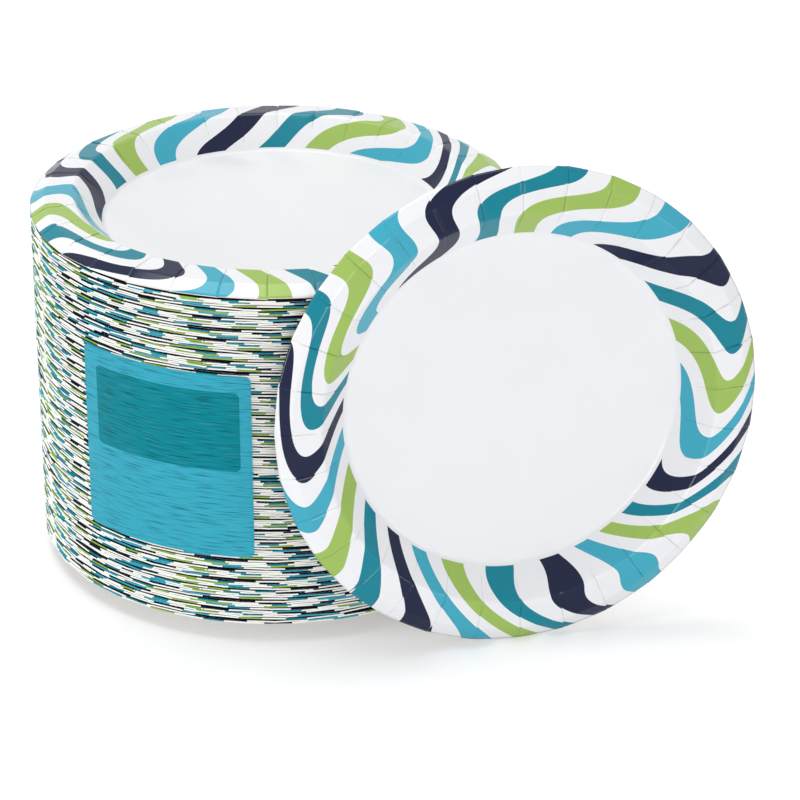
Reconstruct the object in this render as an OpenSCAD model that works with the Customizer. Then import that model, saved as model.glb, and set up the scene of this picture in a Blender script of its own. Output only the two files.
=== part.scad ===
// A tall nested stack of round pressed paper plates, with one like plate leaning on its front.
// Millimetres, +Z up, origin on the floor at the centre of the stack's lowest foot.
// The leaning plate stands on the -Y and +X side, which is the front right.

/* [Plate] */
// Width of a plate, from lip to lip
plate_d = 216; // [200:1:260]
// Thickness of the coated board
board_t = 0.5; // [0.3:0.05:0.8]
// Height of the wall, from the flat foot up to the ridge
wall_h = 13.5; // [8:0.5:20]
// Slope of the wall, in degrees from the horizontal
wall_angle = 44; // [35:1:55]
// Width of the brim, from the ridge to the lip
brim_w = 12.5; // [8:0.5:16]
// Slope of the brim, in degrees down from the horizontal
brim_angle = 5; // [2:0.5:12]
// Width of the turned-down lip
lip_w = 6.5; // [4:0.5:9]
// Slope of the lip, in degrees down from the horizontal
lip_angle = 30; // [20:1:34]
// Bend radius between the foot and the wall
foot_bend = 6; // [3:0.5:10]
// Bend radius at the ridge
ridge_bend = 4; // [2:0.5:7]
// Bend radius between the brim and the lip
lip_bend = 4; // [2:0.5:7]

/* [Pleats] */
// Number of pressed pleats round the rim
pleat_count = 32; // [16:1:40]
// Width of one crease, across it
crease_w = 0.9; // [0.4:0.1:2]
// Depth of one crease in the printed side
crease_depth = 0.2; // [0.05:0.05:0.25]
// How far outside the foot the creases start
crease_start = 2; // [1:0.5:6]

/* [Stack] */
// Number of bundles under the top plate
bundle_count = 39; // [32:1:44]
// Number of plates in one bundle
bundle_size = 4; // [3:1:5]
// Clear space between the walls of two nested plates
nest_gap = 0.22; // [0.15:0.01:0.5]

/* [Leaning plate] */
// Sideways place of the leaning plate's middle
lean_x = 104; // [92:1:125]
// Tilt of the leaning plate back from upright, in degrees
lean_tilt = 5.5; // [3:0.5:15]
// Turn of the leaning plate away from the front, in degrees
lean_turn = 15.5; // [4:0.5:25]
// Turn of the leaning plate about its own middle, in degrees
lean_spin = -1.2; // [-5.5:0.1:5.5]
// Clear space between the leaning plate and the stack
lean_gap = 0.3; // [0.1:0.05:0.6]

/* [Label] */
// Width of the film label, measured round the stack
label_w = 83; // [50:1:110]
// Height of the film label
label_h = 87; // [40:1:90]
// Height of the label's lower edge over the floor
label_rise = 42; // [25:1:45]
// Turn of the label's middle to the left of the front, in degrees
label_turn = 26; // [22:1:40]
// Thickness of the film
label_t = 0.2; // [0.1:0.05:0.4]
// Clear space between the film and the plate edges
label_gap = 0.1; // [0.05:0.05:0.3]
// Corner radius of the label
label_corner = 3; // [1:0.5:8]

/* [Hidden] */
$fn = 96;
// Straight steps in each bend of the section
foot_steps = 3;
ridge_steps = 3;
lip_steps = 2;

// Radii and heights of the corners of the board's middle surface, before they are bent round
lip_r = plate_d / 2;
edge_r = lip_r - board_t / 2 * sin(lip_angle);
brim_r = lip_r - lip_w;
ridge_r = brim_r - brim_w;
foot_r = ridge_r - wall_h / tan(wall_angle);
foot_z = board_t / 2;
ridge_z = foot_z + wall_h;
brim_z = ridge_z - brim_w * tan(brim_angle);
edge_z = brim_z - (edge_r - brim_r) * tan(lip_angle);

// Rise from one nested plate to the next
pitch = (board_t + nest_gap) / cos(wall_angle);
plate_count = bundle_count * bundle_size + 1;
top_z = (plate_count - 1) * pitch;
stack_h = top_z + ridge_z + board_t / 2;

function unit(v) = v / norm(v);
function heading(v) = atan2(v.y, v.x);
// Smallest signed turn that equals the angle a
function turn(a) = a > 180 ? a - 360 : a < -180 ? a + 360 : a;

// Points of the arc of radius r that rounds the corner b between a and c
function bend(a, b, c, r, steps) =
    let (to_a = unit(a - b))
    let (to_c = unit(c - b))
    let (half = acos(to_a * to_c) / 2)
    let (centre = b + unit(to_a + to_c) * r / sin(half))
    let (first = heading(b + to_a * r / tan(half) - centre))
    let (last = heading(b + to_c * r / tan(half) - centre))
    [for (i = [0:steps]) centre + r * [
        cos(first + turn(last - first) * i / steps),
        sin(first + turn(last - first) * i / steps)]];

axis_pt = [0, foot_z];
foot_pt = [foot_r, foot_z];
ridge_pt = [ridge_r, ridge_z];
brim_pt = [brim_r, brim_z];
edge_pt = [edge_r, edge_z];

// Middle surface of the board, from the axis out to the cut edge
middle = concat(
    [axis_pt],
    bend(axis_pt, foot_pt, ridge_pt, foot_bend, foot_steps),
    bend(foot_pt, ridge_pt, brim_pt, ridge_bend, ridge_steps),
    bend(ridge_pt, brim_pt, edge_pt, lip_bend, lip_steps),
    [edge_pt]);
last_pt = len(middle) - 1;

// Upward normal of the stretch of the middle surface that ends at point i
function stretch_normal(i) =
    let (along = unit(middle[i] - middle[i - 1]))
    [-along.y, along.x];
// Offset direction at point i, longer at a bend so that the board keeps its thickness
function offset_dir(i) =
    i == 0 ? [0, 1] :
    i == last_pt ? stretch_normal(i) :
    let (sum = stretch_normal(i) + stretch_normal(i + 1))
    sum * 2 / (sum * sum);
// Points of the printed side and of the under side
upper = [for (i = [0:last_pt]) middle[i] + offset_dir(i) * board_t / 2];
lower = [for (i = [0:last_pt]) middle[i] - offset_dir(i) * board_t / 2];

// Columns of points round a pleated plate: both sides and the bottom of each crease
pleat_step = 360 / pleat_count;
crease_half = asin(crease_w / 2 / lip_r);
columns = [for (k = [0:pleat_count - 1]) for (s = [-1, 0, 1]) k * pleat_step + s * crease_half];
column_count = len(columns);
// Depth of the crease under the printed side, at radius r of column c
function crease_cut(c, r) = c % 3 == 1 && r > foot_r + crease_start ? crease_depth : 0;
function on_column(c, p, sink) = [p.x * cos(columns[c]), p.x * sin(columns[c]), p.y - sink];

// Two triangles between two columns, between rows i and i + 1 of one side
function side_faces(base, from_above) = [
    for (c = [0:column_count - 1]) for (i = [0:last_pt - 2])
        let (a = base + c * last_pt + i)
        let (b = base + (c + 1) % column_count * last_pt + i)
        each from_above ? [[a, b, b + 1], [a, b + 1, a + 1]] : [[a, b + 1, b], [a, a + 1, b + 1]]];

function three_digits(n) = str(n < 100 ? "0" : "", n < 10 ? "0" : "", n);
// Name of bundle i, which says which plates it holds, counted from the floor
function bundle_name(i) =
    str("plates_", three_digits((i - 1) * bundle_size + 1), "_", three_digits(i * bundle_size));

// One round plate, with its foot on z = 0
module round_plate() {
    rotate_extrude()
        polygon(concat(upper, [for (i = [last_pt:-1:0]) lower[i]]));
}

// One pleated plate, with its foot on z = 0: flat panels between sharp creases
module pleated_plate() {
    under = column_count * last_pt;
    top_pole = 2 * under;
    low_pole = top_pole + 1;
    points = concat(
        [for (c = [0:column_count - 1]) for (i = [1:last_pt])
            on_column(c, upper[i], crease_cut(c, upper[i].x))],
        [for (c = [0:column_count - 1]) for (i = [1:last_pt]) on_column(c, lower[i], 0)],
        [[0, 0, upper[0].y], [0, 0, lower[0].y]]);
    floor_fans = [
        for (c = [0:column_count - 1])
            let (a = c * last_pt)
            let (b = (c + 1) % column_count * last_pt)
            each [[top_pole, b, a], [low_pole, under + a, under + b]]];
    cut_edge = [
        for (c = [0:column_count - 1])
            let (a = c * last_pt + last_pt - 1)
            let (b = (c + 1) % column_count * last_pt + last_pt - 1)
            each [[a, b, under + b], [a, under + b, under + a]]];
    polyhedron(
        points = points,
        faces = concat(side_faces(0, true), side_faces(under, false), floor_fans, cut_edge));
}

// Plates of bundle i, each a solid of its own, nested over the bundle below
module bundle(i) {
    color("whitesmoke")
        for (k = [0:bundle_size - 1])
            translate([0, 0, ((i - 1) * bundle_size + k) * pitch])
                round_plate();
}

module top_plate() {
    color("white")
        translate([0, 0, top_z])
            pleated_plate();
}

// A point of a plate, turned as the leaning plate stands
function leaning(p) =
    let (up = 90 - lean_tilt)
    let (tipped = [p.x, p.y * cos(up) - p.z * sin(up), p.y * sin(up) + p.z * cos(up)])
    [
        tipped.x * cos(lean_turn) - tipped.y * sin(lean_turn),
        tipped.x * sin(lean_turn) + tipped.y * cos(lean_turn),
        tipped.z];
function spun(c, p) = [p.x * cos(columns[c] + lean_spin), p.x * sin(columns[c] + lean_spin), p.y];
back_points = [
    for (c = [0:column_count - 1]) for (p = concat([for (i = [1:last_pt]) lower[i]], [upper[last_pt]]))
        leaning(spun(c, p))];
// Height of the leaning plate's middle, with its lowest point on the floor
lean_z = -min([for (p = back_points) p.z]);
// Place in depth of its middle, with its back resting on the plate edges of the stack
rest_r = lip_r + lean_gap;
lean_y = min([
    for (p = back_points)
        if (p.z + lean_z < stack_h && abs(p.x + lean_x) < rest_r)
            -sqrt(pow(rest_r, 2) - pow(p.x + lean_x, 2)) - p.y]);

module leaning_plate() {
    color("white")
        translate([lean_x, lean_y, lean_z])
            rotate([0, 0, lean_turn])
                rotate([90 - lean_tilt, 0, 0])
                    rotate([0, 0, lean_spin])
                        pleated_plate();
}

// Outline of the label, with round corners, its lower edge on y = 0
module label_outline(width) {
    inner = width / 2 - label_corner;
    translate([-width / 2, label_corner])
        square([width, label_h - 2 * label_corner]);
    translate([-inner, 0])
        square([2 * inner, label_h]);
    for (side = [-1, 1])
        for (y = [label_corner, label_h - label_corner])
            translate([side * inner, y])
                circle(r = label_corner);
}

// Film label round the side of the stack, trimmed to its outline as seen from straight ahead
module label() {
    inside_r = lip_r + label_gap;
    outside_r = inside_r + label_t;
    chord = 2 * outside_r * sin(label_w / outside_r * 90 / PI);
    color("darkcyan")
        rotate([0, 0, -label_turn])
            intersection() {
                difference() {
                    cylinder(r = outside_r, h = stack_h);
                    translate([0, 0, -1])
                        cylinder(r = inside_r, h = stack_h + 2);
                }
                translate([0, 0, label_rise])
                    rotate([90, 0, 0])
                        linear_extrude(height = outside_r + 1)
                            label_outline(chord);
            }
}

for (i = [1:bundle_count])
    bundle(i);
top_plate();
leaning_plate();
label();
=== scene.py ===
import math
import random

import bpy
import numpy as np
from mathutils import Matrix, Vector


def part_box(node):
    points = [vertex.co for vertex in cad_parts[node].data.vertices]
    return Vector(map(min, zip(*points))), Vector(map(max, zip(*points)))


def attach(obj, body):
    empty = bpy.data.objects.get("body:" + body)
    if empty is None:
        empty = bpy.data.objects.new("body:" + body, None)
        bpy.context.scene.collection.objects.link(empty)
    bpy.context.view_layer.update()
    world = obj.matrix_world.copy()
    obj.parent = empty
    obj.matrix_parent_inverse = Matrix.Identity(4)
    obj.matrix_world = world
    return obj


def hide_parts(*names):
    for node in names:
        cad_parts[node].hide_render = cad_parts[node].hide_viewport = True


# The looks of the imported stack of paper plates. Lengths are in metres and angles in radians. Each
# plate is its section turned round Z. The print's stripes are bent by waves, which are worked out in
# numbers for the stacked rims, where each face has one colour, and in nodes for the two plates that
# show.

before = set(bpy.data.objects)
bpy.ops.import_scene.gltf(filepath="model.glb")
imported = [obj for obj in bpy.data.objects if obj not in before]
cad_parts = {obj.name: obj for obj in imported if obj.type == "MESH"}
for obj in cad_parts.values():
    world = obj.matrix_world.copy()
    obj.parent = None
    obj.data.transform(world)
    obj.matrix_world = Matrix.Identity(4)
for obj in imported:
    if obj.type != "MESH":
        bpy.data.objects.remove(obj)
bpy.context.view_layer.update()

MM = 0.001
SEED = 41

# One plate's section, in metres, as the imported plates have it, but with the tighter bends of pressed board
BOARD = 0.5 * MM
WALL_H = 13.5 * MM
WALL_ANGLE = math.radians(44)
BRIM_W = 12.5 * MM
BRIM_ANGLE = math.radians(5)
LIP_W = 6.5 * MM
LIP_ANGLE = math.radians(30)
FOOT_BEND = 3.5 * MM
RIDGE_BEND = 2.4 * MM
LIP_BEND = 2.4 * MM
PLEATS = 32
PLEAT_STEP = 2 * math.pi / PLEATS

# Where the printed ring starts, and the middle and half width that its stripes are worked out with
PRINT_R = 76.3 * MM
RING_MID = 92 * MM
RING_HALF = 16 * MM

# The leaning plate's turns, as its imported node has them
LEAN_TILT = math.radians(5.5)
LEAN_TURN = math.radians(15.5)
LEAN_SPIN = math.radians(-1.2)

# The stack's sizes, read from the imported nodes, which hold PER_BUNDLE plates each
BUNDLES = sorted(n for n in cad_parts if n.startswith("plates_"))
PER_BUNDLE = 4
LIP_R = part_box(BUNDLES[0])[1].x
PITCH = (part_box(BUNDLES[1])[0].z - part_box(BUNDLES[0])[0].z) / PER_BUNDLE
TOP_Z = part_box("top_plate")[0].z

# Linear colours: of the print, of bare board, and of the near-black shade painted on the hidden board
# between the stacked rims
WHITE = (0.795, 0.80, 0.82)
NAVY = (0.004, 0.009, 0.040)
SKY = (0.045, 0.365, 0.490)
GREEN = (0.320, 0.475, 0.100)
TEAL = (0.000, 0.205, 0.275)
BARE_BOARD = (0.86, 0.84, 0.755)
PAINTED_GAP_SHADE = (0.010, 0.010, 0.012)
# The same print on the thin rims of the stack, where paler cut edges lie close to it. Its white is painted
# brighter than the print's, as painted light, because the rims lie in shade under one another
RIM_TONES = {
    WHITE: (0.95, 0.96, 0.92), NAVY: (0.001, 0.003, 0.018), SKY: (0.050, 0.380, 0.510),
    GREEN: (0.280, 0.450, 0.075), TEAL: (0.004, 0.230, 0.300)}
# The cut edges of the stacked rims: bare board painted brighter than BARE_BOARD, as painted light, because
# the rims lie in shade under one another
RIM_EDGE = (0.95, 0.95, 0.88)

# Wavy stripes round the rim: stripe groups round the plate, then waves that bend them, each with its
# size in groups, its number round the plate, its change across the ring and its phase
GROUPS = 6
WAVES = ((0.08, -3, 2.06, 5.9), (0.24, -1, 1.1, 0.81), (0.07, -5, 2.4, 3.0))
# Where each colour of one group starts, as a share of the group
BANDS = (
    (0.000, NAVY), (0.125, WHITE), (0.250, SKY), (0.380, WHITE),
    (0.500, GREEN), (0.640, WHITE), (0.750, TEAL), (0.870, WHITE))

# Creases: the share of a pleat's width that the pressed folds take up at the lip, the radius where
# they start, and how much further out some of them start
GATHER = 0.055
CREASE_START = 78 * MM
START_SPREAD = 5 * MM
# What makes a fixed random share of the number of a crease
SHARE_TURN = 12.9898
SHARE_SCALE = 437.58

# The radius at which the stacked rims show the print, and the share of a stripe group by which each
# colour draws in there on both sides
LIP_PRINT_R = LIP_R - 0.4 * MM
LIP_DRAW_IN = 0.012


# The print in numbers

def crease_share(number):
    """A fixed random share from 0 to 1 for a crease's number."""
    return (np.sin(SHARE_TURN * number) * SHARE_SCALE) % 1.0


def gathered(angle, radius):
    """The place on the flat print of a point of the pleated plate, which the folds draw together."""
    middle = (np.floor(angle / PLEAT_STEP) + 0.5) * PLEAT_STEP
    return angle + (angle - middle) * GATHER * (radius - CREASE_START) / (LIP_R - CREASE_START)


def stripe_field(angle, radius):
    """Number of stripe groups up to this place: its fraction says the place in one group."""
    across = (radius - RING_MID) / RING_HALF
    total = GROUPS * angle / (2 * math.pi)
    for size, count, change, phase in WAVES:
        total = total + size * np.sin(count * angle + change * across + phase)
    return total


def lip_band(angle):
    """Index in BANDS of the colour at the lip, where the colours are a little narrower."""
    share = stripe_field(gathered(angle, LIP_PRINT_R), LIP_PRINT_R) % 1.0
    starts = [start + LIP_DRAW_IN * (1 if colour != WHITE else -1) for start, colour in BANDS]
    return max([i for i, start in enumerate(starts) if share >= start], default=len(BANDS) - 1)


# The board's section

# Rings on the floor of a smooth plate, as shares of its foot's radius, that keep the shading flat
FLOOR_RINGS = (0.5, 0.96)


def unit(v):
    return v / np.linalg.norm(v)


def bend(a, b, c, radius, steps):
    """Points of the arc that rounds the corner b between a and c."""
    to_a, to_c = unit(a - b), unit(c - b)
    half = math.acos(float(to_a @ to_c)) / 2
    centre = b + unit(to_a + to_c) * radius / math.sin(half)
    first = b + to_a * radius / math.tan(half) - centre
    last = b + to_c * radius / math.tan(half) - centre
    start = math.atan2(first[1], first[0])
    sweep = (math.atan2(last[1], last[0]) - start + math.pi) % (2 * math.pi) - math.pi
    angles = start + sweep * np.arange(steps + 1) / steps
    return [centre + radius * np.array([math.cos(t), math.sin(t)]) for t in angles]


def split(points, spacing):
    """The same line with extra points, so that no stretch is longer than spacing."""
    out = [points[0]]
    for a, b in zip(points, points[1:]):
        count = max(1, math.ceil(np.linalg.norm(b - a) / spacing - 1e-6))
        out += [a + (b - a) * k / count for k in range(1, count + 1)]
    return out


def section(bend_steps, spacing=None):
    """Upper and lower side of the board, as (radius, height) points from the axis to the cut edge.
    bend_steps holds the steps of the bends at foot, ridge and lip. With a spacing the plate gets more
    rings, for smooth shading."""
    edge_r = LIP_R - BOARD / 2 * math.sin(LIP_ANGLE)
    brim_r = LIP_R - LIP_W
    ridge_r = brim_r - BRIM_W
    foot_r = ridge_r - WALL_H / math.tan(WALL_ANGLE)
    ridge_z = BOARD / 2 + WALL_H
    brim_z = ridge_z - BRIM_W * math.tan(BRIM_ANGLE)
    axis, foot = np.array([0, BOARD / 2]), np.array([foot_r, BOARD / 2])
    ridge, brim = np.array([ridge_r, ridge_z]), np.array([brim_r, brim_z])
    edge = np.array([edge_r, brim_z - (edge_r - brim_r) * math.tan(LIP_ANGLE)])
    foot_steps, ridge_steps, lip_steps = bend_steps
    middle = (
        [axis]
        + bend(axis, foot, ridge, FOOT_BEND, foot_steps)
        + bend(foot, ridge, brim, RIDGE_BEND, ridge_steps)
        + bend(ridge, brim, edge, LIP_BEND, lip_steps)
        + [edge])
    if spacing:
        floor_rings = [np.array([share * foot_r, BOARD / 2]) for share in FLOOR_RINGS]
        middle = middle[:1] + floor_rings + split(middle[1:], spacing)
    middle = np.array(middle)
    # Each point moves out along the mean of the two normals beside it, so that the board stays as thick
    along = np.diff(middle, axis=0)
    normals = np.c_[-along[:, 1], along[:, 0]] / np.linalg.norm(along, axis=1)[:, None]
    total = np.vstack([[[0, 1]], normals[:-1] + normals[1:], normals[-1:]])
    total[0] = [0, 1]
    offset = total * 2 / (total ** 2).sum(axis=1)[:, None]
    offset[0], offset[-1] = [0, 1], normals[-1]
    return middle + offset * BOARD / 2, middle - offset * BOARD / 2


# Mesh code

def revolve(angles, upper, lower):
    """Vertices and faces of a closed dished shell, and the column, row and side of each face. upper and
    lower hold, for each angle, the rows of (radius, height) from the first ring to the cut edge, and
    the height at the pole."""
    (up, up_pole), (low, low_pole) = upper, lower
    count, rows_up, rows_low = len(angles), up.shape[1], low.shape[1]

    def points(rows):
        return np.stack([
            rows[:, :, 0] * np.cos(angles)[:, None],
            rows[:, :, 0] * np.sin(angles)[:, None],
            rows[:, :, 1]], axis=2).reshape(-1, 3)

    verts = np.vstack([points(up), points(low), [[0, 0, up_pole], [0, 0, low_pole]]])
    base = count * rows_up
    top_pole = base + count * rows_low
    bottom_pole = top_pole + 1
    faces, kinds = [], []
    for c in range(count):
        n = (c + 1) % count
        a, b = c * rows_up, n * rows_up
        faces.append((top_pole, a, b))
        kinds.append((c, 0, "upper"))
        for i in range(rows_up - 1):
            faces.append((a + i, a + i + 1, b + i + 1, b + i))
            kinds.append((c, i + 1, "upper"))
        d, e = base + c * rows_low, base + n * rows_low
        faces.append((a + rows_up - 1, d + rows_low - 1, e + rows_low - 1, b + rows_up - 1))
        kinds.append((c, rows_up, "edge"))
        for i in range(rows_low - 1):
            faces.append((d + i, e + i, e + i + 1, d + i + 1))
            kinds.append((c, i + 1, "lower"))
        faces.append((bottom_pole, e, d))
        kinds.append((c, 0, "lower"))
    return verts, faces, kinds


def make_object(name, verts, faces, materials, indices, smooth=None):
    """A mesh object in the scene. indices and smooth have a value for each face."""
    mesh = bpy.data.meshes.new(name)
    mesh.from_pydata([tuple(v) for v in verts], [], faces)
    for material in materials:
        mesh.materials.append(material)
    mesh.polygons.foreach_set("material_index", np.array(indices, np.int32))
    if smooth is not None:
        mesh.polygons.foreach_set("use_smooth", np.array(smooth, bool))
    mesh.update()
    obj = bpy.data.objects.new(name, mesh)
    bpy.context.scene.collection.objects.link(obj)
    return obj


# Shader code

def grey(value):
    return (value, value, value)


def new_material(name):
    """A material with a bare Principled shader, its node tree and that shader."""
    material = bpy.data.materials.new(name)
    material.use_nodes = True
    tree = material.node_tree
    tree.nodes.clear()
    out = tree.nodes.new("ShaderNodeOutputMaterial")
    shader = tree.nodes.new("ShaderNodeBsdfPrincipled")
    tree.links.new(shader.outputs["BSDF"], out.inputs["Surface"])
    return material, tree, shader


def set_input(tree, socket, value):
    """Links a socket to another, or sets its value."""
    if isinstance(value, bpy.types.NodeSocket):
        tree.links.new(value, socket)
    else:
        socket.default_value = value


def math_node(tree, operation, *values):
    """The result of one operation on numbers or sockets."""
    node = tree.nodes.new("ShaderNodeMath")
    node.operation = operation
    for socket, value in zip(node.inputs, values):
        set_input(tree, socket, value)
    return node.outputs[0]


def noise(tree, vector, scale, detail=3.0, roughness=0.5):
    node = tree.nodes.new("ShaderNodeTexNoise")
    node.inputs["Scale"].default_value = scale
    node.inputs["Detail"].default_value = detail
    node.inputs["Roughness"].default_value = roughness
    tree.links.new(vector, node.inputs["Vector"])
    return node.outputs["Fac"]


def bump(tree, height, strength, distance):
    node = tree.nodes.new("ShaderNodeBump")
    node.inputs["Strength"].default_value = strength
    node.inputs["Distance"].default_value = distance
    tree.links.new(height, node.inputs["Height"])
    return node.outputs["Normal"]


def ramp(tree, factor, stops, interpolation="LINEAR"):
    """The colour at factor, between stops of (place, colour)."""
    node = tree.nodes.new("ShaderNodeValToRGB")
    node.color_ramp.interpolation = interpolation
    elements = node.color_ramp.elements
    while len(elements) < len(stops):
        elements.new(1.0)
    for element, (place, colour) in zip(elements, stops):
        element.position = place
        element.color = (*colour, 1.0)
    tree.links.new(factor, node.inputs["Fac"])
    return node.outputs["Color"]


def mix_colour(tree, factor, first, second, blend="MIX"):
    """The first colour at factor 0 and the second one, or their product, at factor 1."""
    node = tree.nodes.new("ShaderNodeMix")
    node.data_type = "RGBA"
    node.blend_type = blend
    # Of this node's many inputs, 0 is the factor, and 6 and 7 are the colours
    set_input(tree, node.inputs[0], factor)
    for socket, value in ((node.inputs[6], first), (node.inputs[7], second)):
        set_input(tree, socket, (*value, 1.0) if isinstance(value, tuple) else value)
    return node.outputs[2]


def object_vector(tree, frame_of=None):
    """Object coordinates, or coordinates in the frame that the matrix frame_of gives."""
    vector = tree.nodes.new("ShaderNodeTexCoord").outputs["Object"]
    if frame_of is None:
        return vector
    mapping = tree.nodes.new("ShaderNodeMapping")
    mapping.vector_type = "TEXTURE"
    mapping.inputs["Location"].default_value = frame_of.translation
    mapping.inputs["Rotation"].default_value = frame_of.to_euler()
    tree.links.new(vector, mapping.inputs["Vector"])
    return mapping.outputs["Vector"]


def polar(tree, vector):
    """Angle and radius of a point about the object's own axis."""
    parts = tree.nodes.new("ShaderNodeSeparateXYZ")
    tree.links.new(vector, parts.inputs[0])
    x, y = parts.outputs[0], parts.outputs[1]
    squares = math_node(tree, "ADD", math_node(tree, "MULTIPLY", x, x), math_node(tree, "MULTIPLY", y, y))
    return math_node(tree, "ARCTAN2", y, x), math_node(tree, "SQRT", squares)


def stripe_colour(tree, angle, radius):
    """The stripe colours as nodes, from the same folds and waves as lip_band."""
    pleat = math_node(tree, "FRACT", math_node(tree, "DIVIDE", angle, PLEAT_STEP))
    off_middle = math_node(tree, "MULTIPLY", math_node(tree, "SUBTRACT", pleat, 0.5), PLEAT_STEP)
    outward = math_node(tree, "SUBTRACT", radius, CREASE_START)
    drawn = math_node(tree, "MULTIPLY", outward, GATHER / (LIP_R - CREASE_START))
    angle = math_node(tree, "MULTIPLY_ADD", off_middle, drawn, angle)
    across = math_node(tree, "MULTIPLY", math_node(tree, "SUBTRACT", radius, RING_MID), 1 / RING_HALF)
    total = math_node(tree, "MULTIPLY", angle, GROUPS / (2 * math.pi))
    for size, count, change, phase in WAVES:
        inside = math_node(tree, "MULTIPLY_ADD", angle, float(count), phase)
        inside = math_node(tree, "MULTIPLY_ADD", across, change, inside)
        total = math_node(tree, "MULTIPLY_ADD", math_node(tree, "SINE", inside), size, total)
    return ramp(tree, math_node(tree, "FRACT", total), BANDS, "CONSTANT")


def band_window(tree, value, low, high, soft):
    """1 between low and high, 0 outside, with soft steps."""
    def step(edge, sign):
        raw = math_node(tree, "MULTIPLY", math_node(tree, "SUBTRACT", value, edge), sign / soft)
        return math_node(tree, "MINIMUM", math_node(tree, "MAXIMUM", raw, 0.0), 1.0)
    return math_node(tree, "MULTIPLY", step(low, 1.0), step(high, -1.0))


# Painted shade along the folds, in thin lines: where the main one and the one beside it lie across a crease,
# how soft their sides are and how much the second one shows at most
LINE_MAIN = (-0.22 * MM, 0.16 * MM)
LINE_BESIDE = (1.45 * MM, 1.75 * MM)
LINE_SOFT = 0.16 * MM
BESIDE_SHOW = 0.45
# The radius where they end, how much further out some of them end, and the length of their soft ends
LINE_END = 100.5 * MM
END_SPREAD = 7 * MM
LINE_FADE = 1.2 * MM
# How much they show on black, how much less on white, and what they multiply the colour with
LINE_SHOW = 0.85
LINE_SHOW_DROP = 0.55
CREASE_SHADE_TONE = (0.14, 0.15, 0.18)


def crease_share_node(tree, number):
    """The share that crease_share gives, as a node."""
    wave = math_node(tree, "SINE", math_node(tree, "MULTIPLY", number, SHARE_TURN))
    return math_node(tree, "FRACT", math_node(tree, "MULTIPLY", wave, SHARE_SCALE))


def painted_crease_shade(tree, vector, angle, radius):
    """Painted shade in thin broken lines where the board is folded: one at each crease and a fainter one
    beside it.
    """
    turns = math_node(tree, "DIVIDE", angle, PLEAT_STEP)
    number = math_node(tree, "ROUND", turns)
    share = crease_share_node(tree, number)
    arc = math_node(tree, "MULTIPLY", math_node(tree, "SUBTRACT", turns, number), PLEAT_STEP)
    arc = math_node(tree, "MULTIPLY", arc, radius)
    start = math_node(tree, "MULTIPLY_ADD", share, START_SPREAD, CREASE_START)
    end = math_node(tree, "MULTIPLY_ADD", share, END_SPREAD, LINE_END)
    reach = band_window(tree, radius, start, end, LINE_FADE)
    broken = ramp(tree, noise(tree, vector, 210.0, 2.0), ((0.38, grey(0.1)), (0.62, grey(1.0))))
    main = band_window(tree, arc, *LINE_MAIN, LINE_SOFT)
    beside = band_window(tree, arc, *LINE_BESIDE, LINE_SOFT)
    beside = math_node(tree, "MULTIPLY", beside, math_node(tree, "MULTIPLY", share, BESIDE_SHOW))
    lines = math_node(tree, "MULTIPLY", math_node(tree, "ADD", main, beside), reach)
    return math_node(tree, "MULTIPLY", lines, broken)


def print_material(name, place):
    """Coated board with the printed ring: stripes outside PRINT_R, plain white inside. The matrix
    place says how the plate lies."""
    material, tree, shader = new_material(name)
    vector = object_vector(tree, place)
    angle, radius = polar(tree, vector)
    inside = math_node(tree, "LESS_THAN", radius, PRINT_R)
    colour = mix_colour(tree, inside, stripe_colour(tree, angle, radius), WHITE)
    mottle = noise(tree, vector, 38.0)
    tone = ramp(tree, mottle, ((0.3, grey(0.985)), (0.7, grey(1.0))))
    colour = mix_colour(tree, 1.0, colour, tone, "MULTIPLY")
    # The painted shade of the folds shows more on the inks than on the white
    to_grey = tree.nodes.new("ShaderNodeRGBToBW")
    tree.links.new(colour, to_grey.inputs[0])
    show = math_node(tree, "MULTIPLY_ADD", to_grey.outputs[0], -LINE_SHOW_DROP, LINE_SHOW)
    lines = math_node(tree, "MULTIPLY", painted_crease_shade(tree, vector, angle, radius), show)
    # The colour darkened by the painted shade of the folds
    dark = mix_colour(tree, 1.0, colour, CREASE_SHADE_TONE, "MULTIPLY")
    set_input(tree, shader.inputs["Base Color"], mix_colour(tree, lines, colour, dark))
    fibre = noise(tree, vector, 1300.0, 2.0)
    set_input(tree, shader.inputs["Normal"], bump(tree, fibre, 0.05, 0.03 * MM))
    # Under 0.27 all over: the denoiser takes rougher places for matt ones, and the difference shows
    rough = ramp(tree, noise(tree, vector, 120.0), ((0.3, grey(0.20)), (0.7, grey(0.26))))
    set_input(tree, shader.inputs["Roughness"], rough)
    shader.inputs["Specular IOR Level"].default_value = 0.15
    shader.inputs["Coat Weight"].default_value = 0.22
    shader.inputs["Coat Roughness"].default_value = 0.09
    return material


def board_material():
    """Bare uncoated board: the under side and the cut edge."""
    material, tree, shader = new_material("bare_board")
    vector = object_vector(tree)
    grain = noise(tree, vector, 700.0, 4.0, 0.65)
    dark = tuple(0.90 * c for c in BARE_BOARD)
    set_input(tree, shader.inputs["Base Color"], ramp(tree, grain, ((0.35, dark), (0.65, BARE_BOARD))))
    set_input(tree, shader.inputs["Normal"], bump(tree, grain, 0.4, 0.04 * MM))
    shader.inputs["Roughness"].default_value = 0.75
    return material


def rim_material(name, colour, roughness, gloss=0.06):
    """Board at the rims of the stacked plates, in one plain colour with a fine grain."""
    material, tree, shader = new_material(name)
    grain = noise(tree, object_vector(tree), 900.0)
    set_input(tree, shader.inputs["Normal"], bump(tree, grain, 0.3, 0.04 * MM))
    shader.inputs["Base Color"].default_value = (*colour, 1.0)
    shader.inputs["Roughness"].default_value = roughness
    shader.inputs["Specular IOR Level"].default_value = gloss
    return material


# The pleated plate, shown on top of the stack and leaning on it

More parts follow.
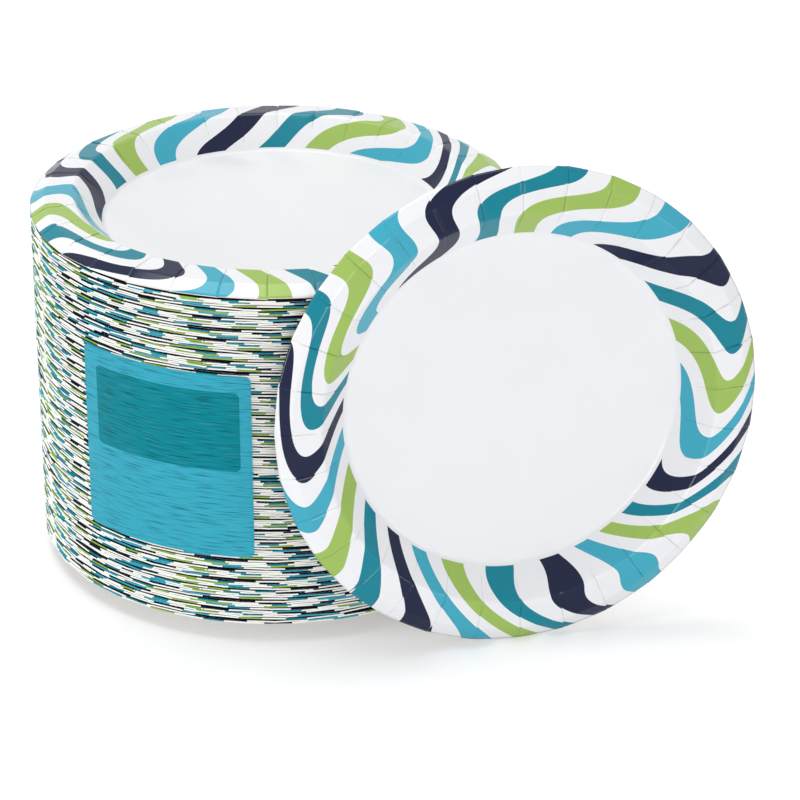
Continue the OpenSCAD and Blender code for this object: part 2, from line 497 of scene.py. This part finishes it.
# Columns beside one crease, as distances from it at the lip in millimetres, and how many are spread
# over the rest of the panel
CREASE_COLUMNS = (-2.4, -1.3, -0.7, -0.35, -0.14, 0.0, 0.14, 0.35, 0.8, 1.6, 2.8)
PANEL_COLUMNS = 6
# Steps of the bends at foot, ridge and lip, and the longest stretch between two rings
SHOWN_BENDS = (8, 8, 8)
SHOWN_SPACING = 1.6 * MM
# Panels: how flat they are, from round at 0 to flat at 1, and the radii between which that sets in
PANEL_FLAT = 0.55
FLAT_ZONE = (72 * MM, 90 * MM)
# How much they slant and lie higher or lower at most, and the radii between which that sets in
PANEL_SLANT = 0.32 * MM
PANEL_LIFT = 0.16 * MM
ASKEW_ZONE = (78 * MM, 104 * MM)
# Folds: their depth on the upper and on the lower side, and the length over which they set in
FOLD_ABOVE = 0.36 * MM
FOLD_BELOW = 0.20 * MM
FOLD_RISE = 5 * MM
# The least depth of a groove as a share of the fold's depth, the most that is added to that share, and
# how wide the groove is
GROOVE_LEAST = 0.6
GROOVE_MORE = 0.6
GROOVE_W = 0.26 * MM
# Width of the sunk flap on one side of a crease
FLAP_W = 1.6 * MM


def pleat_columns():
    """Angles of all columns of a pleated plate, closer together at the creases."""
    near = [d * MM / LIP_R for d in CREASE_COLUMNS]
    step = (PLEAT_STEP - near[-1] + near[0]) / (PANEL_COLUMNS + 1)
    one = near + [near[-1] + step * (k + 1) for k in range(PANEL_COLUMNS)]
    return np.array([k * PLEAT_STEP + a for k in range(PLEATS) for a in one])


def smoothstep(a, b, x):
    """0 up to a, 1 from b on, and a soft step between them."""
    t = np.clip((x - a) / (b - a), 0, 1)
    return t * t * (3 - 2 * t)


def pleated(angles, rows, fold, seed):
    """Rows of the section at each angle: flat panels that stand a little askew, and folds between them."""
    draw = random.Random(seed)
    slants = np.array([draw.uniform(-1, 1) for _ in range(PLEATS)]) * PANEL_SLANT
    lifts = np.array([draw.uniform(-1, 1) for _ in range(PLEATS)]) * PANEL_LIFT
    crease = np.round(angles / PLEAT_STEP).astype(int)
    away = angles - crease * PLEAT_STEP
    # A column on a crease belongs to the panel before it, so that the step falls after it
    panel = np.floor(angles / PLEAT_STEP - 1e-9).astype(int)
    place = angles / PLEAT_STEP - panel - 0.5
    r = rows[None, :, 0] * np.ones((len(angles), 1))
    z = rows[None, :, 1] * np.ones((len(angles), 1))
    chord = math.cos(PLEAT_STEP / 2) / np.cos(place * PLEAT_STEP)[:, None]
    out_r = r * (1 + PANEL_FLAT * (chord - 1) * smoothstep(*FLAT_ZONE, r))
    start = CREASE_START + START_SPREAD * crease_share(crease)[:, None]
    reach = smoothstep(0, FOLD_RISE, r - start)
    outward = smoothstep(*ASKEW_ZONE, r)
    askew = (2 * place * slants[panel % PLEATS] + lifts[panel % PLEATS])[:, None] * outward
    # The halves and quarters only give each crease other shares than the one for its start
    depth = fold * (GROOVE_LEAST + GROOVE_MORE * crease_share(crease + 0.5))[:, None]
    groove = np.exp(-(away[:, None] * r / GROOVE_W) ** 2)
    flap = np.where(away[:, None] > 0, np.clip(1 - away[:, None] * r / FLAP_W, 0, 1), 0)
    sunk = depth * groove + fold * crease_share(crease + 0.25)[:, None] * flap
    return np.stack([out_r, z + askew - sunk * reach], axis=2)


def plate_mesh(seed):
    """Vertices, faces and face kinds of a whole pleated plate in its own frame, its foot on z = 0."""
    upper, lower = section(SHOWN_BENDS, SHOWN_SPACING)
    angles = pleat_columns()
    up = pleated(angles, upper[1:], FOLD_ABOVE, seed)
    low = pleated(angles, lower[1:], FOLD_BELOW, seed)
    return revolve(angles, (up, upper[0][1]), (low, lower[0][1]))


def placed(verts, place):
    """The vertices moved to where the matrix place puts them."""
    turn, shift = np.array(place.to_3x3()), np.array(place.translation)
    return verts @ turn.T + shift


def show_plate(node, mesh, place, under_side):
    """Makes the printed plate that stands for a node."""
    verts, faces, kinds = mesh
    materials = [print_material(node + "_print", place), under_side]
    indices = [0 if side == "upper" else 1 for _, _, side in kinds]
    smooth = [side != "edge" for _, _, side in kinds]
    obj = make_object(node + "_printed", placed(verts, place), faces, materials, indices, smooth)
    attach(obj, "root")
    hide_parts(node)


# Turns of the two shown plates, in pleats
TOP_SPIN = 9
LEAN_STEPS = 4


def build_top_plate(under_side):
    place = Matrix.Translation((0, 0, TOP_Z)) @ Matrix.Rotation(TOP_SPIN * PLEAT_STEP, 4, "Z")
    show_plate("top_plate", plate_mesh(SEED), place, under_side)


def build_leaning_plate(under_side):
    """The leaning plate, turned as its node is, with its lowest corner where the node has it."""
    mesh = plate_mesh(SEED + 1)
    turn = (
        Matrix.Rotation(LEAN_TURN, 4, "Z")
        @ Matrix.Rotation(math.pi / 2 - LEAN_TILT, 4, "X")
        @ Matrix.Rotation(LEAN_SPIN + LEAN_STEPS * PLEAT_STEP, 4, "Z"))
    low = Vector(placed(mesh[0], turn).min(axis=0))
    place = Matrix.Translation(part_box("leaning_plate")[0] - low) @ turn
    show_plate("leaning_plate", mesh, place, under_side)


# The stacked plates

# Steps of the bends at foot, ridge and lip on the first plate, whose under side shows, and on the rest
FIRST_BENDS = (4, 4, 3)
PLAIN_BENDS = (1, 1, 1)
# The outermost strip of each rim, which is in the light, is pressed down to this slope
CURL_W = 0.60 * MM
CURL_ANGLE = math.radians(55)
# Share of the board's thickness that is left at the pressed edge
LIP_PRESSED = 0.55
# The notch at each pleat: its half width, its least and greatest depth, and how many half widths from
# the crease a change of colour has to be to get a column of its own
NOTCH_HALF = 0.5 * MM
NOTCH_DEPTH = (0.06 * MM, 0.15 * MM)
NOTCH_CLEAR = 1.3
# Steps round the lip in which changes of colour are looked for
SCAN_STEPS = 1440
# How far a plate lies off the stack's axis at most, across the view and along it
SHIFT_ACROSS = 0.10 * MM
SHIFT_ALONG = 0.05 * MM
# The rims lie close together in clusters with open gaps between: how far a rim lies from its even
# place at most, how many rims the clusters have in turn, and how much more the topmost rim sags
RIM_DRIFT = 0.35 * MM
CLUSTERS = (6, 4)
TOP_SAG = 0.42 * MM
# The radius where a plate starts to leave its even place, and the length over which it does
DRIFT_START = 91 * MM
DRIFT_RISE = 8 * MM
# Waves that let the clusters wander up and down round the stack: size in clusters, number, phase
WANDER = ((0.40, 1, 0.6), (0.22, 3, 2.0), (0.14, 7, 1.1), (0.05, 16, 0.0))
# The plates' turns come back after a run of this many, each with a small slip, apart from some strays
RUN = sum(CLUSTERS)
TURN_SLIP = math.radians(1.3)
STRAY_SHARE = 0.15


def turn_between(a, b):
    """Smallest angle between two directions."""
    return abs((a - b + math.pi) % (2 * math.pi) - math.pi)


def colour_changes(spin):
    """Angles where the print changes colour along the lip of a plate turned by spin."""
    scan = np.linspace(0, 2 * math.pi, SCAN_STEPS + 1)
    bands = [lip_band(a - spin) for a in scan]
    return [(scan[i] + scan[i + 1]) / 2 for i in range(SCAN_STEPS) if bands[i] != bands[i + 1]]


def cluster_places(count):
    """For each plate from the floor up, its place in the clusters, counted down from 0 under the top
    plate, and the share of a cluster that it takes up."""
    shares = [1 / size for size in CLUSTERS for _ in range(size)]
    places, place = [], 0.0
    for number in range(count):
        share = shares[number % RUN]
        place -= share
        places.append((place, share))
    return places[::-1]


def plate_turns(draw, count):
    """How far each stacked plate is turned. One run takes the stripe groups in even steps, shuffled,
    so that every colour shows alike at each place round the stack."""
    group = 2 * math.pi / GROUPS
    run = [group * (k / RUN + draw.randrange(GROUPS)) for k in range(RUN)]
    draw.shuffle(run)
    turns = []
    for k in range(count):
        turn = draw.uniform(0, 2 * math.pi) if draw.random() < STRAY_SHARE else run[k % RUN]
        turns.append(turn + draw.uniform(-1, 1) * TURN_SLIP)
    return turns


def rim_offset(place, rising, angles, over):
    """How far a rim lies over its even place: up the stack it falls through a cluster and rises over the
    share of it that is called rising, which opens the gap. The rims sag more where few lie over them."""
    wander = sum(size * np.sin(count * angles + phase) for size, count, phase in WANDER)
    share = (place + wander) % 1.0
    falls = 0.5 - share / (1 - rising)
    rises = -0.5 + (share - (1 - rising)) / rising
    return 2 * RIM_DRIFT * np.where(share < 1 - rising, falls, rises) - TOP_SAG * math.exp(-over / 2)


def curled(upper, lower):
    """The section with its lip turned down more steeply over the outermost CURL_W."""
    along = np.array([math.cos(CURL_ANGLE), -math.sin(CURL_ANGLE)])
    inward = np.array([-math.sin(CURL_ANGLE), -math.cos(CURL_ANGLE)])
    straight = upper[-1] - upper[-2]
    start = upper[-1] - straight * CURL_W * math.cos(CURL_ANGLE) / straight[0]
    turn = (CURL_ANGLE + LIP_ANGLE) / 2
    start_low = start - BOARD * np.array([math.sin(turn), math.cos(turn)])
    edge = start + CURL_W * along
    edge_low = edge + BOARD * LIP_PRESSED * inward
    return np.vstack([upper[:-1], [start, edge]]), np.vstack([lower[:-1], [start_low, edge_low]])


def stacked_plate(index, spin, place, draw):
    """Vertices, faces and face kinds of stacked plate number index, counted from the floor, and the
    index in BANDS of each column's colour."""
    notch = NOTCH_HALF / LIP_R
    creases = [(k * PLEAT_STEP + spin) % (2 * math.pi) for k in range(PLEATS)]
    angles = [(a + d) % (2 * math.pi) for a in creases for d in (-notch, 0, notch)]
    clear = NOTCH_CLEAR * notch
    angles += [a for a in colour_changes(spin) if min(turn_between(a, c) for c in creases) > clear]
    angles = np.array(sorted(angles))
    at_crease = np.array([min(turn_between(a, c) for c in creases) < notch / 2 for a in angles])
    upper, lower = curled(*section(FIRST_BENDS if index == 0 else PLAIN_BENDS))
    up = np.repeat(upper[None, 1:], len(angles), axis=0)
    low = np.repeat(lower[None, 1:], len(angles), axis=0)
    over = PER_BUNDLE * len(BUNDLES) - 1 - index
    offset = rim_offset(*place, angles, over) if index > 0 else np.zeros(len(angles))
    dip = draw.uniform(*NOTCH_DEPTH)
    for rows in (up, low):
        outward = np.clip((rows[:, :, 0] - DRIFT_START) / DRIFT_RISE, 0, 1)
        rows[:, :, 1] += outward * (offset - dip * at_crease)[:, None]
    verts, faces, kinds = revolve(angles, (up, upper[0][1]), (low, lower[0][1]))
    verts[:, 2] += index * PITCH
    verts[:, 0] += draw.uniform(-SHIFT_ACROSS, SHIFT_ACROSS)
    verts[:, 1] += draw.uniform(-SHIFT_ALONG, SHIFT_ALONG)
    after = np.roll(angles, -1)
    middles = (angles + np.where(after < angles, after + 2 * math.pi, after)) / 2
    return verts, faces, kinds, [lip_band(a - spin) for a in middles]


def build_bundles(under_side):
    """One piece for each bundle node. The lowest bundle also shows the under side of the first plate."""
    colours = sorted({colour for _, colour in BANDS})
    edge = rim_material("rim_cut_edge", RIM_EDGE, 0.75)
    prints = [rim_material(f"rim_print_{i}", RIM_TONES[c], 0.40) for i, c in enumerate(colours)]
    # Painted shade: near black on every hidden face of the stacked plates, which really is white board
    shade = rim_material("rim_painted_shade", PAINTED_GAP_SHADE, 0.8, 0.0)
    # The material index of each entry of BANDS, after the cut edge and the painted shade
    slots = [2 + colours.index(colour) for _, colour in BANDS]
    draw = random.Random(SEED)
    places = cluster_places(PER_BUNDLE * len(BUNDLES))
    turns = plate_turns(draw, len(places))
    for b, node in enumerate(BUNDLES):
        verts, faces, indices = [], [], []
        for k in range(PER_BUNDLE):
            plate = b * PER_BUNDLE + k
            v, f, kinds, bands = stacked_plate(plate, turns[plate], places[plate], draw)
            base = sum(len(x) for x in verts)
            verts.append(v)
            faces += [tuple(base + i for i in face) for face in f]
            lip_row = max(row for _, row, side in kinds if side == "upper")
            # Only the lip's strip takes the print and the cut edge takes its own colour; all other faces get
            # the painted shade, apart from the first plate's under side
            for c, row, side in kinds:
                if side == "upper" and row == lip_row:
                    indices.append(slots[bands[c]])
                elif plate == 0 and side == "lower":
                    indices.append(len(prints) + 2)
                else:
                    indices.append(0 if side == "edge" else 1)
        materials = [edge, shade] + prints + ([under_side] if b == 0 else [])
        obj = make_object(node + "_printed", np.vstack(verts), faces, materials, indices)
        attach(obj, "root")
        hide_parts(node)


# The film label

LABEL_TURN = math.radians(26)
LABEL_GAP = 0.1 * MM
FILM = 0.2 * MM
LABEL_HALF_W = 41.5 * MM
LABEL_CORNER = 3 * MM
# How many columns each half of the film has besides those at the corners
LABEL_COLUMNS = 12
# The darker field: its half width, its shift to the right, its height, its drop from the top and its corner
FIELD_HALF_W = 35.2 * MM
FIELD_SHIFT = 1.2 * MM
FIELD_H = 37.5 * MM
FIELD_DROP = 8 * MM
FIELD_CORNER = 2.5 * MM
# Streaks painted in the film for the plate edges under it, dark ones as painted shade between the edges and
# pale ones as
# painted highlight on them: length, height, what the dark ones multiply the colour with, and how far the
# pale ones go to white
STREAK_L = 12 * MM
STREAK_H = 0.62 * MM
STREAK_SHADE = 0.50
STREAK_HIGHLIGHT = 0.03
FILM_COLOUR = (0.035, 0.355, 0.475)
FIELD_COLOUR = (0.000, 0.212, 0.265)


def label_material(name, colour):
    """Printed film drawn tight over the plate edges, with fine streaks of painted shade and painted
    highlight for the edges under it.
    """
    material, tree, shader = new_material(name)
    vector = object_vector(tree)
    angle, _ = polar(tree, vector)
    height = tree.nodes.new("ShaderNodeSeparateXYZ")
    tree.links.new(vector, height.inputs[0])
    place = tree.nodes.new("ShaderNodeCombineXYZ")
    tree.links.new(math_node(tree, "MULTIPLY", angle, LIP_R / STREAK_L), place.inputs[0])
    tree.links.new(math_node(tree, "MULTIPLY", height.outputs[2], 1 / STREAK_H), place.inputs[1])
    streaks = noise(tree, place.outputs[0], 1.0, 1.0, 0.4)
    # The painted shade and the painted highlight of the streaks
    dark = tuple(STREAK_SHADE * c for c in colour)
    pale = tuple(c + STREAK_HIGHLIGHT * (1 - c) for c in colour)
    stops = ((0.29, dark), (0.46, colour), (0.60, colour), (0.74, pale))
    set_input(tree, shader.inputs["Base Color"], ramp(tree, streaks, stops))
    set_input(tree, shader.inputs["Normal"], bump(tree, streaks, 0.35, 0.08 * MM))
    shader.inputs["Roughness"].default_value = 0.36
    shader.inputs["Specular IOR Level"].default_value = 0.09
    return material


def corner_columns(half_w, corner, steps=6):
    """Places along the arc that follow the round corners of a field of this half width."""
    near = [half_w - corner * (1 - math.sin(math.pi / 2 * k / steps)) for k in range(steps + 1)]
    return [-x for x in near] + near


def corner_inset(x, half_w, corner):
    """How far a field's upper and lower edges draw in at x, for its round corners."""
    out = min(max(abs(x) - (half_w - corner), 0), corner)
    return corner - math.sqrt(corner ** 2 - out ** 2)


def build_label():
    """The film round the plate edges, with a darker field in its upper half."""
    low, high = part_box("label")[0].z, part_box("label")[1].z
    field_top = high - FIELD_DROP
    field_columns = [x + FIELD_SHIFT for x in corner_columns(FIELD_HALF_W, FIELD_CORNER)]
    columns = set(corner_columns(LABEL_HALF_W, LABEL_CORNER) + field_columns)
    columns |= {LABEL_HALF_W * k / LABEL_COLUMNS for k in range(1 - LABEL_COLUMNS, LABEL_COLUMNS)}
    columns = sorted(columns)
    # The heights of each column: the film's edges, and between them the field's
    rows = []
    for x in columns:
        film_in = corner_inset(x, LABEL_HALF_W, LABEL_CORNER)
        field_in = corner_inset(x - FIELD_SHIFT, FIELD_HALF_W, FIELD_CORNER)
        rows.append([low + film_in, field_top - FIELD_H + field_in, field_top - field_in, high - film_in])
    inner_r = LIP_R + LABEL_GAP
    verts = []
    for r in (inner_r, inner_r + FILM):
        for x, row in zip(columns, rows):
            angle = -math.pi / 2 - LABEL_TURN + x / (inner_r + FILM)
            verts += [(r * math.cos(angle), r * math.sin(angle), z) for z in row]
    faces, indices = [], []
    # The inner and the outer side of the film, then its edges: below, above, left and right
    outer = 4 * len(columns)
    for c in range(len(columns) - 1):
        a, b = 4 * c, 4 * c + 4
        in_field = max(abs(x - FIELD_SHIFT) for x in columns[c:c + 2]) <= FIELD_HALF_W + 1e-9
        for i in range(3):
            faces.append((a + i, a + i + 1, b + i + 1, b + i))
            faces.append((outer + a + i, outer + b + i, outer + b + i + 1, outer + a + i + 1))
            indices += [0, 1 if in_field and i == 1 else 0]
        faces.append((a, b, outer + b, outer + a))
        faces.append((a + 3, outer + a + 3, outer + b + 3, b + 3))
        indices += [0, 0]
    last = 4 * len(columns) - 4
    for i in range(3):
        faces.append((i, outer + i, outer + i + 1, i + 1))
        faces.append((last + i, last + i + 1, outer + last + i + 1, outer + last + i))
        indices += [0, 0]
    film, field = label_material("label_film", FILM_COLOUR), label_material("label_field", FIELD_COLOUR)
    obj = make_object("label_printed", verts, faces, [film, field], indices)
    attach(obj, "root")
    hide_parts("label")


# Camera, light and floor

CAMERA_TARGET = Vector((55.9, -50.0, 89.0)) * MM
CAMERA_DISTANCE = 1.495
CAMERA_ELEVATION = math.radians(26.5)
CAMERA_AZIMUTH = math.radians(-0.6)
CAMERA_LENS = 152.2
# Brightness of the world for light on the object, where what is seen of it is 1
WORLD_LIGHT = 0.51
# The floor reaches this far each way, and glows where it is seen, so that it is as white as the world
FLOOR_REACH = 6.0
FLOOR_COLOUR = (0.82, 0.82, 0.83)
FLOOR_GLOW = 0.30


def build_camera():
    data = bpy.data.cameras.new("camera")
    data.lens = CAMERA_LENS
    data.sensor_width = 36
    cam = bpy.data.objects.new("camera", data)
    bpy.context.scene.collection.objects.link(cam)
    back = Vector((
        math.sin(CAMERA_AZIMUTH) * math.cos(CAMERA_ELEVATION),
        -math.cos(CAMERA_AZIMUTH) * math.cos(CAMERA_ELEVATION),
        math.sin(CAMERA_ELEVATION)))
    cam.location = CAMERA_TARGET + back * CAMERA_DISTANCE
    cam.rotation_euler = (-back).to_track_quat("-Z", "Y").to_euler()
    bpy.context.scene.camera = cam


def seen_directly(tree):
    """1 for what the camera, a reflection or a transmission sees, 0 for light on the object."""
    path = tree.nodes.new("ShaderNodeLightPath").outputs
    seen = math_node(tree, "MAXIMUM", path["Is Camera Ray"], path["Is Glossy Ray"])
    return math_node(tree, "MAXIMUM", seen, path["Is Transmission Ray"])


def build_world():
    """White where it is seen, and an even light on the object."""
    world = bpy.data.worlds.new("world")
    bpy.context.scene.world = world
    world.use_nodes = True
    tree = world.node_tree
    tree.nodes.clear()
    out = tree.nodes.new("ShaderNodeOutputWorld")
    background = tree.nodes.new("ShaderNodeBackground")
    background.inputs["Color"].default_value = (1, 1, 1, 1)
    strength = math_node(tree, "MULTIPLY_ADD", seen_directly(tree), 1 - WORLD_LIGHT, WORLD_LIGHT)
    tree.links.new(strength, background.inputs["Strength"])
    tree.links.new(background.outputs[0], out.inputs["Surface"])


def area_light(name, place, size, power):
    """A rectangular lamp that points at what the camera looks at. Sizes are in metres, power in watts."""
    data = bpy.data.lights.new(name, "AREA")
    data.shape = "RECTANGLE"
    data.size, data.size_y = size
    data.energy = power
    obj = bpy.data.objects.new(name, data)
    obj.location = place
    obj.rotation_euler = (CAMERA_TARGET - Vector(place)).to_track_quat("-Z", "Y").to_euler()
    bpy.context.scene.collection.objects.link(obj)


def build_floor():
    """The white floor under the object, which is no part of it."""
    verts = [(x * FLOOR_REACH, y * FLOOR_REACH, 0) for x, y in ((-1, -1), (1, -1), (1, 1), (-1, 1))]
    material = bpy.data.materials.new("floor")
    material.use_nodes = True
    tree = material.node_tree
    tree.nodes.clear()
    out = tree.nodes.new("ShaderNodeOutputMaterial")
    diffuse = tree.nodes.new("ShaderNodeBsdfDiffuse")
    diffuse.inputs["Color"].default_value = (*FLOOR_COLOUR, 1)
    glow = tree.nodes.new("ShaderNodeEmission")
    tree.links.new(math_node(tree, "MULTIPLY", seen_directly(tree), FLOOR_GLOW), glow.inputs["Strength"])
    both = tree.nodes.new("ShaderNodeAddShader")
    tree.links.new(diffuse.outputs[0], both.inputs[0])
    tree.links.new(glow.outputs[0], both.inputs[1])
    tree.links.new(both.outputs[0], out.inputs["Surface"])
    floor = make_object("floor", verts, [(0, 1, 2, 3)], [material], [0])


def build_stage():
    build_world()
    area_light("front", (0.15, -2.2, 0.32), (1.2, 0.6), 17)
    area_light("top", (-0.3, 0.3, 2.0), (1.4, 1.2), 23.5)
    area_light("strip_left", (-2.2, -0.35, 0.35), (0.2, 0.9), 15)
    area_light("strip_right", (1.7, -1.4, 0.35), (0.12, 0.9), 5)
    build_floor()
    bpy.context.scene.view_settings.view_transform = "Standard"


build_camera()
build_stage()
bare = board_material()
build_top_plate(bare)
build_leaning_plate(bare)
build_bundles(bare)
build_label()
